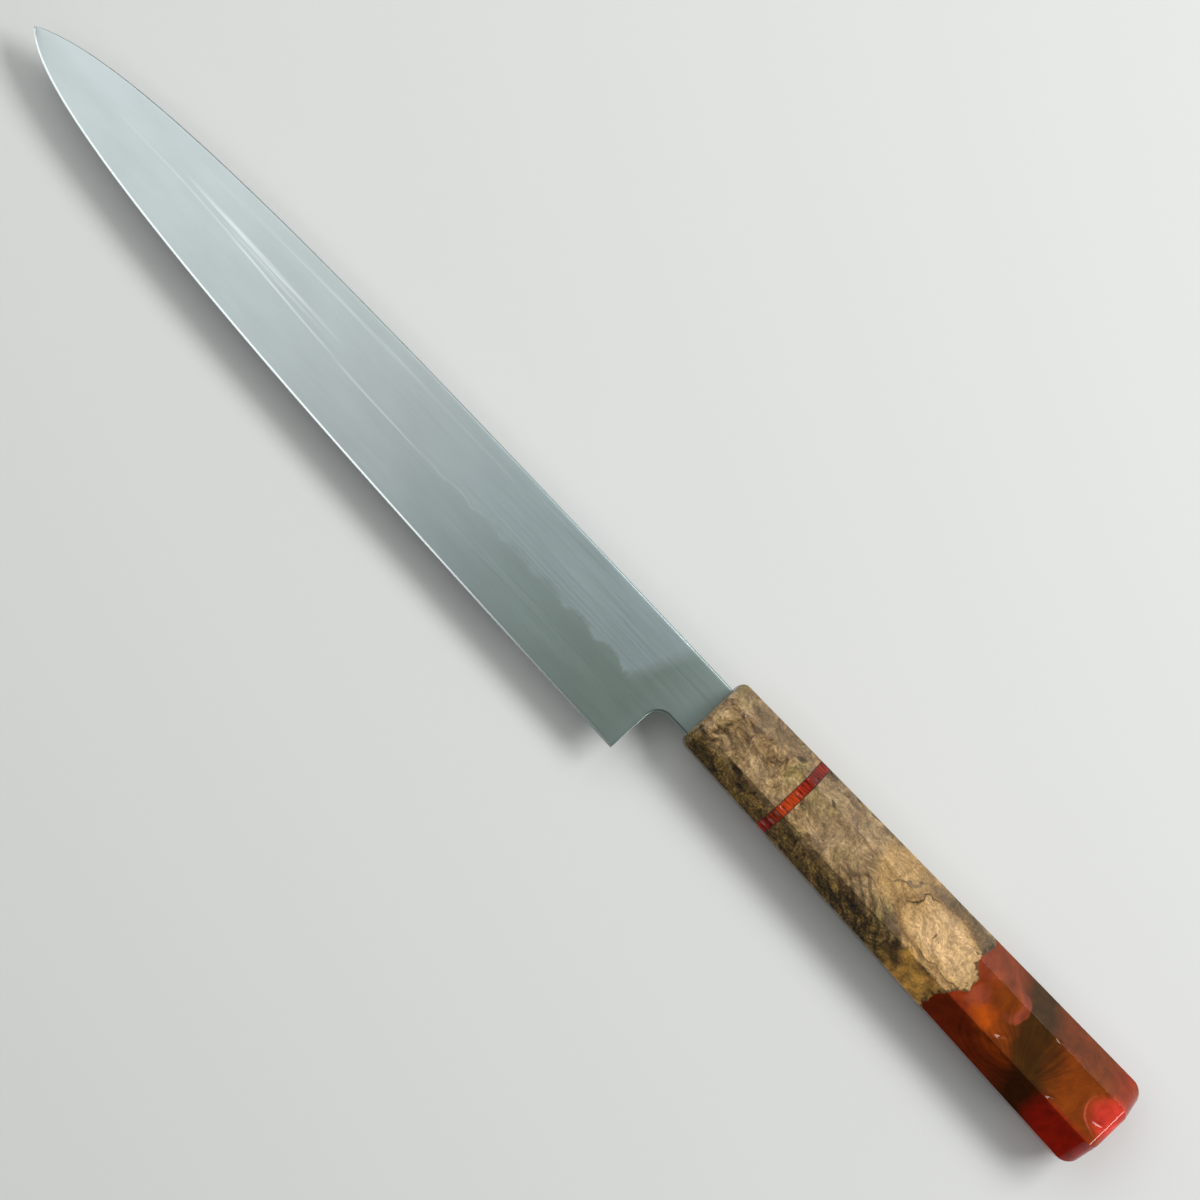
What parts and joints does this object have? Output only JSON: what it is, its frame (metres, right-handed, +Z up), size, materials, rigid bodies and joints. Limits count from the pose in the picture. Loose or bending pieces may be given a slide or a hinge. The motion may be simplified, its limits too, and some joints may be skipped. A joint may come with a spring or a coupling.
{
  "type": "sujihiki knife",
  "caption": "Long narrow slicing knife with a convex double-bevel blade and hidden tang in an octagonal handle of burl and cast resin",
  "frame": {"origin": "under the middle of the knife's box, on the surface that the handle lies on", "axes": "X runs along the knife with the tip at -X and the butt at +X, +Y is the spine side and -Y the cutting edge, +Z is up through the side of the blade"},
  "size_m": [0.4014, 0.0398, 0.0233],
  "materials": {
    "blade_steel": "satin polished with a hardening line",
    "burl_wood": "stabilised and polished",
    "red_acrylic": "polished, translucent",
    "cast_resin": "polished, translucent swirl",
    "core_hardwood": "turned, unfinished",
    "bedding_epoxy": "cured epoxy"
  },
  "bodies": {
    "root": {"blade": "blade_steel", "ferrule": "burl_wood", "spacer": "red_acrylic", "grip_body": "burl_wood", "resin_butt": "cast_resin", "tang_dowel": "core_hardwood", "tang_bedding": "bedding_epoxy"}
  },
  "joints": []
}
